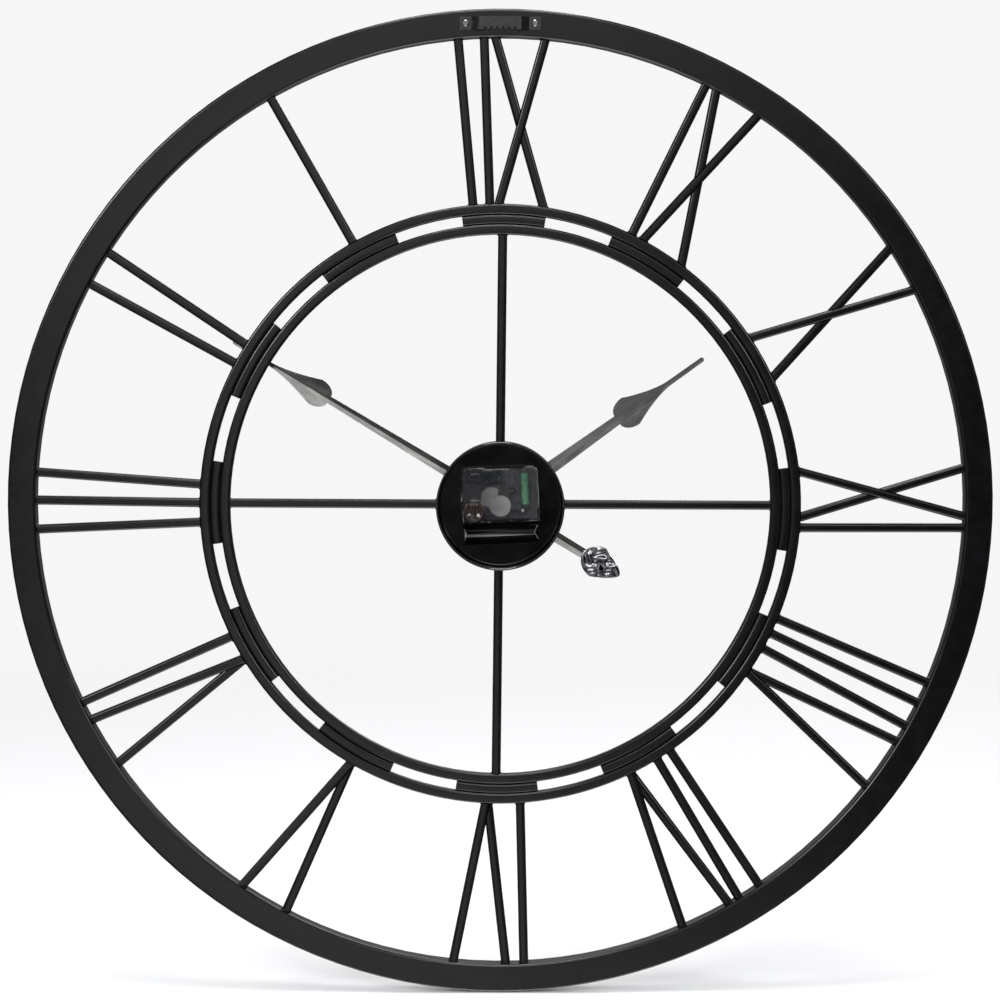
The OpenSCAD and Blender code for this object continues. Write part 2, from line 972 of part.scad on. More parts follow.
function leaf_side(leaf, shank, wide, needle) = concat(
    [for (i = [0:leaf_steps / 2]) let (t = leaf[0] + (leaf[1] - leaf[0]) * (1 - cos(180 * i / leaf_steps)))
        [leaf_half(t, leaf, shank, wide, needle), t]],
    [for (i = [1:leaf_steps]) let (t = leaf[1] + (leaf[2] - leaf[1]) * i / leaf_steps)
        [leaf_half(t, leaf, shank, wide, needle), t]]);

function mirrored(side) = [for (i = [len(side) - 1:-1:0]) [-side[i].x, side[i].y]];

// outline of a hand that points up: root is its lower end, as points of half-width and distance from the pivot
module hand_outline(root, leaf, shank, wide, needle, tip) {
    side = concat(
        root,
        leaf_side(leaf, shank, wide, needle),
        [[needle / 2 - tip_step, tip - tip_len]]);
    polygon(concat(side, [[0, tip]], mirrored(side)));
}

// sheet folded along the hand's length: the ridge is at front_y and both halves fall back from it
module folded_sheet(front_y, reach, half_w) {
    fall = half_w * tan(hand_slope);
    translate([0, 0, -reach])
        linear_extrude(2 * reach)
            polygon([
                [0, front_y], [half_w, front_y + fall], [half_w, front_y + fall + hand_t],
                [0, front_y + hand_t], [-half_w, front_y + fall + hand_t], [-half_w, front_y + fall]]);
}

module hour_hand() {
    color(hand_grey)
        rotate([0, (shown_hour + shown_minute / 60) * 30 + hour_error, 0])
            difference() {
                union() {
                    intersection() {
                        plate(hour_y - 1, hour_y + 6)
                            hand_outline([[hour_hub_w / 2, 0]], hour_leaf, hour_shank_w, hour_leaf_w,
                                hour_needle_w, hour_len);
                        folded_sheet(hour_y, sheet_reach, sheet_half);
                    }
                    plate(hour_y, hour_y + boss_t)
                        circle(hour_boss_r, $fn = 64);
                    plate(hour_y, hour_collet_y)
                        circle(hour_collet_r, $fn = 64);
                }
                plate(hour_y - 1, hour_y + 6)
                    circle(hour_tube_r, $fn = 64);
            }
}

module minute_hand() {
    color(hand_grey)
        rotate([0, shown_minute * 6, 0])
            difference() {
                union() {
                    intersection() {
                        plate(minute_y - 1, minute_y + 6)
                            hand_outline([[minute_tail_w / 2, -minute_tail], [minute_hub_w / 2, 0]],
                                minute_leaf, minute_shank_w, minute_leaf_w, minute_needle_w, minute_len);
                        folded_sheet(minute_y, sheet_reach, sheet_half);
                    }
                    plate(minute_y, minute_y + boss_t)
                        circle(minute_boss_r, $fn = 64);
                }
                plate(minute_y - 1, minute_y + 6)
                    circle(minute_pipe_r, $fn = 64);
            }
}

// a leaf on the tail that balances the minute hand
module minute_counterweight() {
    r = weight_w / 2;
    front = minute_y + boss_t;
    widest = weight_widest;
    side = [for (i = [0:leaf_steps]) let (s = i / leaf_steps)
        [r * pow(1 - s, 0.62), -widest - (weight_tip - widest) * s]];
    round_end = [for (i = [0:leaf_steps]) let (a = 180 * i / leaf_steps)
        [r * cos(a), (widest - weight_from) * sin(a) - widest]];
    color(bright_steel)
        rotate([0, shown_minute * 6, 0])
            plate(front, front + weight_t)
                polygon(concat(
                    round_end,
                    [for (i = [1:leaf_steps]) [-side[i].x, side[i].y]],
                    [for (i = [leaf_steps - 1:-1:1]) side[i]]));
}

module hand_cap_nut() {
    front = minute_y - nut_len;
    dome = 1.4;
    color(brass)
        difference() {
            rotate([90, 0, 0])
                rotate_extrude($fn = 64)
                    polygon(concat(
                        [[0, -minute_y], [nut_r, -minute_y]],
                        arc([nut_r - dome, -front - dome], dome, 0, 90),
                        [[0, -front]]));
            plate(arbor_front_y, minute_y + 1)
                circle(minute_pipe_r, $fn = 48);
        }
}

outer_rim();
chapter_ring_outer();
chapter_ring_inner();
hour_blocks();
numeral(1, I);  // numeral_1
numeral(2, II);  // numeral_2
numeral(3, III);  // numeral_3
numeral(4, IV);  // numeral_4
numeral(5, V);  // numeral_5
numeral(6, VI);  // numeral_6
numeral(7, VII);  // numeral_7
numeral(8, VIII);  // numeral_8
numeral(9, IX);  // numeral_9
numeral(10, X);  // numeral_10
numeral(11, XI);  // numeral_11
numeral(12, XII);  // numeral_12
spoke(0);  // spoke_top
spoke(1);  // spoke_right
spoke(2);  // spoke_bottom
spoke(3);  // spoke_left
movement_cup();
sawtooth_hanger();
hanger_screws();
movement_base();
middle_plate();
rear_cover();
threaded_bushing();
rubber_gasket();
washer();
hex_nut();
coil_bobbin();
coil_winding();
coil_core();
stator();
circuit_board();
circuit_chip();
quartz_crystal();
contact_positive();
contact_negative();
rotor_magnet();
rotor_pinion();
intermediate_wheel();
second_wheel();
third_wheel();
centre_wheel();
minute_arbor();
minute_hand();
minute_counterweight();
hand_cap_nut();
motion_wheel();
hour_wheel();
hour_hand();
setting_stem();
setting_knob();
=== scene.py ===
import json
import math
import random

import bmesh
import bpy
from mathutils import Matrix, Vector


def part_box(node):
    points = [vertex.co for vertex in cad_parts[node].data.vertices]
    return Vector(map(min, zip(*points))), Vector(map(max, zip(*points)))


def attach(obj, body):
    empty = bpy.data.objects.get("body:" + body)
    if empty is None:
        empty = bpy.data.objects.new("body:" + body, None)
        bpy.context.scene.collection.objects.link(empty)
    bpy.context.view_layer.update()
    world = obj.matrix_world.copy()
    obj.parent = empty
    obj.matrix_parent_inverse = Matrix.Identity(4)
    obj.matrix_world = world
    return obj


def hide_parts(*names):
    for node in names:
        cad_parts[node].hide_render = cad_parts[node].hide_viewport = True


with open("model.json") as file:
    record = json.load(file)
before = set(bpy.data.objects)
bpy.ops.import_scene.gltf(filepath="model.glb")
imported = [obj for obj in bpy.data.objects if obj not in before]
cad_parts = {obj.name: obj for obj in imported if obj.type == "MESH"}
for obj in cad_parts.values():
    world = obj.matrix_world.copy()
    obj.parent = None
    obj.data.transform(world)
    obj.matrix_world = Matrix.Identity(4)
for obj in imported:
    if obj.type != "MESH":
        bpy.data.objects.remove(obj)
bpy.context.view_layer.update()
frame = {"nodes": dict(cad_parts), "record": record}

MM = 0.001
scene = bpy.context.scene
nodes = frame["nodes"]
rng = random.Random(12)


# ---- where things are, from the frame ----

# how far the movement is turned about the clock's axis
case_turn = math.radians(2.4)


def vertices_of(name):
    return [v.co.copy() for v in nodes[name].data.vertices]


def clock_angle(name):
    """Direction in which a hand points, clockwise from twelve as the dial is read, in radians."""
    tip = max(vertices_of(name), key=lambda p: p.x * p.x + p.z * p.z)
    return math.atan2(tip.x, tip.z)


hour_angle = clock_angle("hour_hand")
minute_angle = clock_angle("minute_hand")


def turned_to(angle, x, y, z):
    """A point drawn at twelve o'clock, turned clockwise by `angle` about the clock's axis."""
    return Vector((x * math.cos(angle) + z * math.sin(angle), y, z * math.cos(angle) - x * math.sin(angle)))


def box_turned(name, angle):
    """Lowest and highest corners of a node before it was turned by `angle`."""
    points = [turned_to(-angle, *p) for p in vertices_of(name)]
    return [Vector(pick(p[i] for p in points) for i in range(3)) for pick in (min, max)]


# ---- node trees ----

# sockets of a Mix node that blends colours
MIX_FIRST, MIX_SECOND, MIX_RESULT = 6, 7, 2


def grey(tone):
    return (tone, tone, tone)


class Nodes:
    """Short calls that add nodes to one tree."""

    def __init__(self, tree):
        self.tree = tree

    def add(self, kind, **inputs):
        """A node, with each named input set to a value or linked to a socket."""
        made = self.tree.nodes.new("ShaderNode" + kind)
        for key, value in inputs.items():
            self.feed(made.inputs[key.replace("_", " ")], value)
        return made

    def feed(self, socket, value):
        if isinstance(value, bpy.types.NodeSocket):
            self.tree.links.new(value, socket)
        else:
            socket.default_value = value

    def math(self, operation, first, second=0.0):
        made = self.add("Math")
        made.operation = operation
        self.feed(made.inputs[0], first)
        self.feed(made.inputs[1], second)
        return made.outputs[0]

    def vectors(self, operation, first, second):
        """A number worked out from two vectors."""
        made = self.add("VectorMath")
        made.operation = operation
        self.feed(made.inputs[0], first)
        self.feed(made.inputs[1], second)
        return made.outputs["Value"]

    def spread(self, value, low, high, start=0.3, end=0.7, smooth=False):
        """A value that goes from `low` to `high` as `value` goes from start to end."""
        made = self.add("MapRange", Value=value, From_Min=start, From_Max=end, To_Min=low, To_Max=high)
        made.interpolation_type = "SMOOTHSTEP" if smooth else "LINEAR"
        return made.outputs[0]

    def blend(self, share, first, second):
        """The first colour at a share of 0, and the second at 1."""
        made = self.add("Mix")
        made.data_type = "RGBA"
        self.feed(made.inputs[0], share)
        self.feed(made.inputs[MIX_FIRST], (*first, 1) if isinstance(first, tuple) else first)
        self.feed(made.inputs[MIX_SECOND], (*second, 1) if isinstance(second, tuple) else second)
        return made.outputs[MIX_RESULT]


# ---- camera, light and floor ----

# The surround as glossy surfaces mirror it: dark below the horizon but bright straight down, brighter above
# the horizon, and dim overhead and at the sides. Some spots are lamps, and the others are dark patches.
# Its brightness starts as the first band, and each further band and each spot is a factor on it.
# A band goes by height or by width, from start to end, and from the value before to the value after.
BANDS = (
    ("height", -0.46, -0.3, 0.3, 0.75),
    ("height", 0.12, 0.3, 1.0, 1.5),
    ("height", 0.45, 0.8, 1.0, 0.25),
    ("width", 0.24, 0.55, 1.0, 0.15),
    ("height", -0.85, -0.65, 9.0, 1.0),
)
# A spot has a direction, the reach of its core, the reach at which it ends, and the factor in its core.
SPOTS = (
    ((0, 0.8, 0.6), 0.1, 0.3, 4.5),
    ((-0.58, 0.76, 0.3), 0.06, 0.2, 45.0),
    ((0.58, 0.76, 0.3), 0.06, 0.2, 45.0),
    ((-0.25, 0.96, -0.08), 0.12, 0.36, 0.008),
    ((0.24, 0.97, -0.08), 0.02, 0.2, 0.25),
    ((0.2, 0.87, -0.45), 0.1, 0.27, 0.15),
    ((0.2, 0.94, 0.28), 0.08, 0.25, 0.26),
    ((-0.2, 0.94, 0.28), 0.08, 0.25, 0.75),
    ((0, 0.997, -0.07), 0.025, 0.05, 0.06),
    ((0, -1, -0.1), 0.2, 0.7, 0.15),
)


def aim(obj, target):
    obj.rotation_euler = (Vector(target) - obj.location).to_track_quat("-Z", "Y").to_euler()


def make_camera():
    distance = 1.85
    elevation = math.radians(4.1)
    lens_per_metre = 49.93
    target = (0.2 * MM, 0, 4.8 * MM)
    data = bpy.data.cameras.new("camera")
    camera = bpy.data.objects.new("camera", data)
    scene.collection.objects.link(camera)
    camera.location = (0, distance * math.cos(elevation), distance * math.sin(elevation))
    aim(camera, target)
    data.lens = lens_per_metre * distance
    data.clip_start = 0.01
    scene.camera = camera


def make_light(name, location, target, size, power, mirrored=True):
    """A soft light. One that isn't mirrored brightens surfaces, but doesn't show in glossy ones."""
    data = bpy.data.lights.new(name, "AREA")
    data.shape = "RECTANGLE"
    data.size, data.size_y = size
    data.energy = power
    light = bpy.data.objects.new(name, data)
    scene.collection.objects.link(light)
    light.location = location
    light.visible_glossy = mirrored
    aim(light, target)


def make_world():
    """A plain pale surround to the eye, and the bands and spots above in reflections."""
    world = bpy.data.worlds.new("studio")
    world.use_nodes = True
    scene.world = world
    world.node_tree.nodes.clear()
    made = Nodes(world.node_tree)
    direction = made.add("TexCoord").outputs["Generated"]
    parts = made.add("SeparateXYZ", Vector=direction).outputs
    across = {"height": parts["Z"], "width": made.math("ABSOLUTE", parts["X"])}
    factors = [made.spread(across[way], before, after, start, end, True)
               for way, start, end, before, after in BANDS]
    for centre, core, reach, factor in SPOTS:
        gap = made.vectors("DISTANCE", direction, Vector(centre).normalized())
        factors.append(made.spread(gap, factor, 1.0, core, reach, True))
    glow = factors[0]
    for factor in factors[1:]:
        glow = made.math("MULTIPLY", glow, factor)
    mirrored = made.add("Background", Color=(0.96, 0.98, 1.0, 1), Strength=glow)
    seen = made.add("Background", Color=(0.925, 0.925, 0.935, 1))
    to_camera = made.add("LightPath").outputs["Is Camera Ray"]
    pick = made.add("MixShader", Fac=to_camera)
    made.feed(pick.inputs[1], mirrored.outputs[0])
    made.feed(pick.inputs[2], seen.outputs[0])
    made.add("OutputWorld", Surface=pick.outputs[0])


def make_floor():
    """A pale round floor under the clock, which fades into the surround."""
    radius, solid_radius = 2.2, 0.3
    mesh = bpy.data.meshes.new("floor")
    build = bmesh.new()
    bmesh.ops.create_circle(build, cap_ends=True, segments=96, radius=radius)
    build.to_mesh(mesh)
    build.free()
    floor = bpy.data.objects.new("floor", mesh)
    scene.collection.objects.link(floor)
    floor.location = (0, 0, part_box("outer_rim")[0].z - 1 * MM)
    floor.visible_glossy = False
    paper = Shader("floor_paper", Base_Color=(0.84, 0.84, 0.85, 1), Roughness=0.9, Specular_IOR_Level=0.1)
    length = paper.add("VectorMath")
    length.operation = "LENGTH"
    paper.feed(length.inputs[0], paper.place)
    paper.set("Alpha", paper.spread(length.outputs["Value"], 1.0, 0.0, solid_radius, radius, True))
    mesh.materials.append(paper.material)


def make_stage():
    scene.view_settings.view_transform = "Standard"
    make_camera()
    make_world()
    make_floor()
    centre = (0, 0, 0)
    make_light("key", (1.25, 1.7, 1.0), centre, size=(0.75, 0.6), power=14)
    make_light("top", (0.1, 0.35, 2.0), (0.1, 0.3, 0), size=(0.9, 0.8), power=21)
    make_light("front", (-0.9, -2.0, 1.5), centre, size=(1.4, 1.2), power=20)
    make_light("rear_fill", (0.3, 2.2, 0.6), centre, size=(1.2, 0.9), power=24, mirrored=False)
    make_light("top_fill", (0, 0.6, 2.4), centre, size=(2.4, 2.0), power=36, mirrored=False)


# ---- materials ----

class Shader(Nodes):
    """A material with a Principled shader, and short calls for what feeds it."""

    def __init__(self, name, **sockets):
        self.material = bpy.data.materials.new(name)
        self.material.use_nodes = True
        super().__init__(self.material.node_tree)
        self.main = self.tree.nodes["Principled BSDF"]
        for socket, value in sockets.items():
            self.set(socket.replace("_", " "), value)
        self.place = self.add("TexCoord").outputs["Object"]

    def set(self, socket, value):
        self.feed(self.main.inputs[socket], value)

    def noise(self, scale, detail=3, rough=0.55, place=None):
        """Noise with `scale` features a metre, as a value from 0 to 1."""
        where = place or self.place
        made = self.add("TexNoise", Vector=where, Scale=scale, Detail=detail, Roughness=rough)
        return made.outputs["Fac"]

    def stretched_noise(self, place, scales, detail, rough=0.6):
        """Noise with its own number of features a metre along X, Y and Z."""
        mapped = self.add("Mapping", Vector=place, Scale=scales)
        return self.noise(1.0, detail, rough, mapped.outputs[0])

    def tones(self, scale, detail, dark, light):
        """A colour that drifts between dark and light."""
        return self.blend(self.spread(self.noise(scale, detail), 0, 1), dark, light)

    def edges(self, radius):
        """1 along sharp edges and 0 on flat faces."""
        rounded = self.add("Bevel", Radius=radius).outputs[0]
        plain = self.add("NewGeometry").outputs["Normal"]
        return self.spread(self.vectors("DOT_PRODUCT", rounded, plain), 1, 0, 0.75, 0.98)

    def bump(self, height, depth, strength):
        """Raises the surface by up to `depth` metres where height is 1."""
        made = self.add("Bump", Height=height, Strength=strength, Distance=depth)
        self.set("Normal", made.outputs[0])


def satin_black():
    """Powder coat: fine orange peel, faint mottling, dust in places and thin paint on the edges."""
    s = Shader("satin_black_paint", IOR=1.5)
    base = s.tones(45, 5, (0.0018, 0.0019, 0.0022), (0.0034, 0.0036, 0.004))
    dust = s.math("MULTIPLY", s.spread(s.noise(2600, 2, 0.7), 0, 1, 0.66, 0.74), 0.08)
    worn = s.math("MULTIPLY", s.edges(0.4 * MM), s.spread(s.noise(140, 4), 0, 0.2, 0.5, 0.7))
    s.set("Base Color", s.blend(worn, s.blend(dust, base, grey(0.12)), grey(0.05)))
    s.set("Roughness", s.spread(s.noise(90, 4), 0.12, 0.18))
    s.bump(s.noise(1300, 2), 0.06 * MM, 0.5)
    return s.material


def gloss_black():
    """Smooth black paint, with a painted highlight along its edges, such as the lip of the cup."""
    s = Shader("gloss_black_paint", IOR=1.5)
    base = s.tones(60, 4, (0.0012, 0.0013, 0.0014), (0.0025, 0.0026, 0.0028))
    # painted highlight: the edges are lightened to grey
    s.set("Base Color", s.blend(s.edges(0.5 * MM), base, grey(0.1)))
    s.set("Roughness", s.spread(s.noise(50, 5), 0.06, 0.12))
    s.bump(s.noise(600, 2), 0.03 * MM, 0.4)
    return s.material


def brushed(name, angle, light, leaf_tone):
    """Bare sheet steel with lines along a hand at `angle`, a painted highlight along its edges and a darker
    leaf.
    """
    dark, edge_highlight = grey(0.14), (0.92, 0.92, 0.9)
    leaf_starts, leaf_ends = 60 * MM, 115 * MM
    s = Shader(name, Metallic=1.0)
    turn = s.add("VectorRotate", Vector=s.place, Angle=-angle)
    turn.rotation_type = "Y_AXIS"
    along = turn.outputs[0]
    lines = s.stretched_noise(along, (3200, 3200, 40), 4)
    cloud = s.stretched_noise(along, (160, 160, 45), 4)
    streaks = s.stretched_noise(along, (750, 750, 30), 3)
    specks = s.spread(s.noise(2400, 2, 0.7), 0, 0.5, 0.62, 0.75)
    reach = s.add("SeparateXYZ", Vector=along).outputs["Z"]
    tone = s.math("MULTIPLY", s.spread(cloud, 0.5, 1, 0.35, 0.68), s.spread(lines, 0.7, 1.0))
    tone = s.math("MULTIPLY", tone, s.spread(streaks, 0.6, 1.0, 0.38, 0.6))
    tone = s.math("MULTIPLY", tone, s.spread(reach, 1.0, leaf_tone, leaf_starts, leaf_ends))
    sheet = s.blend(specks, s.blend(tone, dark, light), dark)
    # painted highlight: the edges are lightened to near white
    s.set("Base Color", s.blend(s.edges(0.8 * MM), sheet, edge_highlight))
    s.set("Roughness", s.spread(cloud, 0.12, 0.22))
    s.bump(lines, 0.012 * MM, 0.3)
    return s.material


def chrome():
    s = Shader("chrome_plate", Metallic=1.0)
    s.set("Base Color", s.tones(300, 3, (0.2, 0.195, 0.21), (0.34, 0.335, 0.35)))
    s.set("Roughness", s.spread(s.noise(500, 4), 0.05, 0.12))
    s.bump(s.noise(420, 2), 0.05 * MM, 0.25)
    return s.material


def turned_brass():
    """Brass with fine tool marks round the clock's axis."""
    s = Shader("turned_brass", Metallic=1.0)
    s.set("Base Color", s.tones(400, 4, (0.47, 0.31, 0.11), (0.72, 0.53, 0.24)))
    s.set("Roughness", s.spread(s.noise(700, 4), 0.2, 0.36))
    s.bump(s.stretched_noise(s.place, (300, 9000, 300), 3), 0.02 * MM, 0.4)
    return s.material


def plain_metal(name, dark, light, smoothest, roughest):
    grain = 900
    s = Shader(name, Metallic=1.0)
    s.set("Base Color", s.tones(300, 4, dark, light))
    s.set("Roughness", s.spread(s.noise(grain, 4), smoothest, roughest))
    s.bump(s.noise(2 * grain, 3), 0.02 * MM, 0.3)
    return s.material


def moulded(name, dark, light, smoothest, roughest, depth=0.02 * MM):
    """Moulded plastic with a little unevenness in its gloss."""
    s = Shader(name)
    s.set("Base Color", s.tones(220, 4, dark, light))
    s.set("Roughness", s.spread(s.noise(350, 4), smoothest, roughest))
    s.bump(s.noise(900, 3), depth, 0.35)
    return s.material


def acetal(name, dark, light):
    return moulded(name, dark, light, 0.3, 0.45)


def smoked_clear():
    """Dark clear plastic, less see-through where the mould was matt; stretches of its edges carry painted
    highlights, pale and opaque.
    """
    s = Shader("smoked_clear_plastic", IOR=1.49)
    painted_edge_glints = s.math("MULTIPLY", s.edges(0.5 * MM), s.spread(s.noise(85, 2), 0, 1, 0.5, 0.56))
    tint = s.tones(90, 3, (0.006, 0.006, 0.009), (0.016, 0.016, 0.02))
    # painted highlight: pale, opaque stretches along the edges stand in for glints
    s.set("Base Color", s.blend(painted_edge_glints, tint, (0.9, 0.9, 0.92)))
    side = s.add("SeparateXYZ", Vector=s.place).outputs["X"]
    matt = s.spread(side, 0.0, 0.14, -4 * MM, 14 * MM)
    haze = s.math("ADD", matt, s.spread(s.noise(70, 3), 0.24, 0.31))
    s.set("Alpha", s.math("ADD", haze, s.math("MULTIPLY", painted_edge_glints, 0.75)))
    s.set("Roughness", s.spread(s.noise(240, 4), 0.05, 0.16))
    s.bump(s.noise(300, 3), 0.02 * MM, 0.2)
    return s.material


def hanger_lacquer():
    """Thin black lacquer, with painted shade: darker, and glossier, where its faces turn sideways, as on the
    legs and bends.
    """
    s = Shader("hanger_lacquer", Specular_IOR_Level=0.75)
    facing = s.add("SeparateXYZ", Vector=s.add("NewGeometry").outputs["Normal"]).outputs["Y"]
    sideways_shade = s.spread(s.math("ABSOLUTE", facing), 1, 0, 0.94, 0.985)
    base = s.tones(220, 4, (0.006, 0.006, 0.0065), (0.013, 0.013, 0.014))
    # painted shade: faces that turn sideways, such as the legs, are darkened almost to black
    s.set("Base Color", s.blend(sideways_shade, base, grey(0.001)))
    matt = s.spread(s.noise(350, 4), 0.26, 0.36)
    s.set("Roughness", s.math("SUBTRACT", matt, s.math("MULTIPLY", sideways_shade, 0.16)))
    s.bump(s.noise(900, 3), 0.02 * MM, 0.3)
    return s.material


def green_wire():
    s = Shader("green_enamel", Coat_Weight=0.3)
    s.set("Base Color", s.tones(500, 3, (0.06, 0.2, 0.1), (0.17, 0.42, 0.25)))
    s.set("Roughness", s.spread(s.noise(800, 3), 0.3, 0.45))
    s.bump(s.noise(3000, 2), 0.01 * MM, 0.3)
    return s.material


# One for each slot. The plain ones give a dark and a light colour, the lowest and highest roughness, and the
# depth of the bump where it isn't the usual one.
MATERIALS = {
    "satin_black_steel": satin_black(),
    "gloss_black_steel": gloss_black(),
    "counterweight_chrome": chrome(),
    "brass_fittings": turned_brass(),
    "black_case_plastic": moulded("black_case", (0.0008, 0.0008, 0.0012), (0.002, 0.002, 0.0028), 0.04, 0.09),
    "smoked_plastic": smoked_clear(),
    "brown_knob_plastic": moulded("brown_knob", (0.012, 0.008, 0.0075), (0.024, 0.0165, 0.0155), 0.05, 0.12),
    "white_gear_plastic": acetal("natural_acetal", (0.62, 0.61, 0.6), (0.78, 0.77, 0.76)),
    "grey_gear_plastic": acetal("grey_acetal", (0.05, 0.048, 0.046), (0.08, 0.078, 0.074)),
    "grey_plate_plastic": moulded("grey_plate", grey(0.07), grey(0.12), 0.4, 0.6),
    "gasket_rubber": moulded("gasket_rubber", grey(0.01), grey(0.02), 0.6, 0.8, 0.05 * MM),
    "green_enamel_wire": green_wire(),
    "core_steel": plain_metal("core_sheet", grey(0.16), grey(0.28), 0.35, 0.5),
    "green_board": moulded("board_lacquer", (0.008, 0.016, 0.012), (0.016, 0.03, 0.02), 0.3, 0.45, 0.03 * MM),
    "black_epoxy": moulded("epoxy_drop", grey(0.004), grey(0.01), 0.2, 0.35),
    "nickel": plain_metal("nickel_plate", (0.36, 0.35, 0.33), (0.55, 0.54, 0.51), 0.14, 0.3),
    "ferrite": moulded("ferrite", (0.02, 0.02, 0.022), (0.045, 0.045, 0.05), 0.35, 0.55, 0.04 * MM),
}
# Nodes whose finish differs from that of the others in their slot
OWN_MATERIALS = {
    "hour_hand": brushed("hour_hand_steel", hour_angle, (0.62, 0.62, 0.61), 0.38),
    "minute_hand": brushed("minute_hand_steel", minute_angle, (0.66, 0.64, 0.6), 0.8),
    "sawtooth_hanger": hanger_lacquer(),
    "second_wheel": acetal("second_wheel_acetal", (0.37, 0.365, 0.355), (0.47, 0.465, 0.455)),
    "third_wheel": acetal("third_wheel_acetal", (0.44, 0.43, 0.42), (0.54, 0.53, 0.52)),
    "hanger_screws": plain_metal("plated_screw", grey(0.22), grey(0.42), 0.06, 0.16),
}


def dress(obj, mat):
    obj.data.materials.clear()
    obj.data.materials.append(mat)


def dress_nodes():
    for part in frame["record"]["subparts"]:
        node = part["node"]
        dress(nodes[node], OWN_MATERIALS.get(node) or MATERIALS[part["material_slot"]])


# ---- finer edges on the CAD nodes ----

def weld_seams(obj):
    """Joins the vertices that a node's faces have in common."""
    weld = obj.modifiers.new("weld", "WELD")
    weld.merge_threshold = 0.001 * MM


def soften(node, width, segments=2):
    """Bevels a node's sharp edges by modifiers alone."""
    obj = nodes[node]
    weld_seams(obj)
    flat = obj.modifiers.new("flat", "DECIMATE")
    flat.decimate_type = "DISSOLVE"
    flat.angle_limit = math.radians(0.3)
    edge = obj.modifiers.new("edge", "BEVEL")
    edge.width = width
    edge.segments = segments
    edge.limit_method = "ANGLE"
    edge.angle_limit = math.radians(30)
    edge.harden_normals = True


def round_off(node):
    """Shades a node's faceted roundings as round, and keeps its flat faces flat."""
    obj = nodes[node]
    weld_seams(obj)
    split = obj.modifiers.new("split", "EDGE_SPLIT")
    split.split_angle = math.radians(40)
    split.use_edge_sharp = False
    normals = obj.modifiers.new("normals", "WEIGHTED_NORMAL")
    normals.weight = 90
    normals.keep_sharp = False


def soften_nodes():
    steelwork = ("outer_rim", "chapter_ring", "hour_blocks", "numeral_", "spoke_", "movement_cup")
    for node in nodes:
        if node.startswith(steelwork):
            round_off(node)
    for node in ("minute_hand", "hour_hand"):
        soften(node, 0.4 * MM, 1)
    soften("movement_base", 0.3 * MM)
    soften("rear_cover", 0.6 * MM, 1)


# ---- meshes made here ----

def piece(name, verts, faces, mat, body, stands_for=None, sharp=35):
    """A closed mesh that rides on a body, takes its finish from a slot and may stand for a CAD node."""
    mesh = bpy.data.meshes.new(name)
    mesh.from_pydata([tuple(v) for v in verts], [], faces)
    build = bmesh.new()
    build.from_mesh(mesh)
    bmesh.ops.remove_doubles(build, verts=build.verts, dist=0.0005 * MM)
    bmesh.ops.recalc_face_normals(build, faces=build.faces)
    for face in build.faces:
        face.smooth = True
    build.to_mesh(mesh)
    build.free()
    mesh.set_sharp_from_angle(angle=math.radians(sharp))
    obj = bpy.data.objects.new(name, mesh)
    scene.collection.objects.link(obj)
    dress(obj, mat)
    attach(obj, body)
    if stands_for:
        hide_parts(stands_for)


def circle(count):
    """Angles of `count` points spaced evenly around a circle."""
    return [2 * math.pi * j / count for j in range(count)]


def band_faces(first, second, count):
    """Faces between two closed rows of vertices, which begin at the indices first and second."""
    following = [(j + 1) % count for j in range(count)]
    return [(first + j, first + k, second + k, second + j) for j, k in enumerate(following)]


def grid_faces(rows, columns, first=0, round_rows=False):
    """Faces of a grid of closed rows, whose last row joins the first if asked."""
    faces = []
    for i in range(rows if round_rows else rows - 1):
        faces += band_faces(first + i * columns, first + (i + 1) % rows * columns, columns)
    return faces


def lathe(profile, at, segments, round_profile=False, wave=None):
    """Turns (radius, y) points about an axis along Y at (x, z); wave gives a radius by angle and y."""
    verts = []
    for radius, y in profile:
        for angle in circle(segments):
            r = wave(radius, angle, y) if wave else radius
            verts.append((at[0] + r * math.sin(angle), y, at[1] + r * math.cos(angle)))
    return verts, grid_faces(len(profile), segments, round_rows=round_profile)


def triangle_wave(t):
    return abs(2 * (t % 1) - 1)


def make_counterweight():
    """A domed leaf with a wavy pressed relief, on the tail of the minute hand."""
    tail = minute_angle + math.pi
    low, high = box_turned("minute_counterweight", tail)
    half = high.x
    base_len = 13.8 * MM
    widest = low.z + base_len
    tip_bluntness = 0.62
    rings, around = 26, 120
    edge_t, dome, ripple = 0.9 * MM, 0.72 * MM, 0.85 * MM
    rear_edge, rear_share = 0.3 * MM, 0.985

    def outline(angle, share):
        """Point of the leaf's edge drawn in to a share of its size: a round base, and a blunt tip outward."""
        across, along = math.sin(angle), math.cos(angle)
        if along <= 0:
            up = (widest - low.z) * along
        else:
            up = (high.z - widest) * (1 - abs(across) ** (1 / tip_bluntness))
        return half * across * share, widest + up * share

    def relief(x, z):
        waves = math.sin(x / (1.35 * MM) + 1.4 * math.sin(z / (2.0 * MM)))
        waves += math.sin(z / (1.5 * MM) + 1.6 * math.sin(x / (2.2 * MM) + 0.8))
        return ripple * waves / 2

    verts = []
    for ring in range(rings + 1):
        share = 1 - ring / rings
        rise = dome * math.sqrt(1 - share ** 2.4)
        pressed = (1 - share ** 6) * min(1, 3 * (1 - share))
        for angle in circle(around):
            x, z = outline(angle, share)
            height = edge_t + rise + relief(x, z) * pressed
            verts.append(turned_to(tail, x, min(low.y + height, high.y), z))
    rear = len(verts)
    for share, height in ((1, rear_edge), (rear_share, 0), (0, 0)):
        for angle in circle(around):
            x, z = outline(angle, share)
            verts.append(turned_to(tail, x, low.y + height, z))
    faces = grid_faces(rings + 1, around) + band_faces(0, rear, around) + grid_faces(3, around, rear)
    piece("pressed_counterweight", verts, faces, MATERIALS["counterweight_chrome"], "minute",
          stands_for="minute_counterweight", sharp=50)


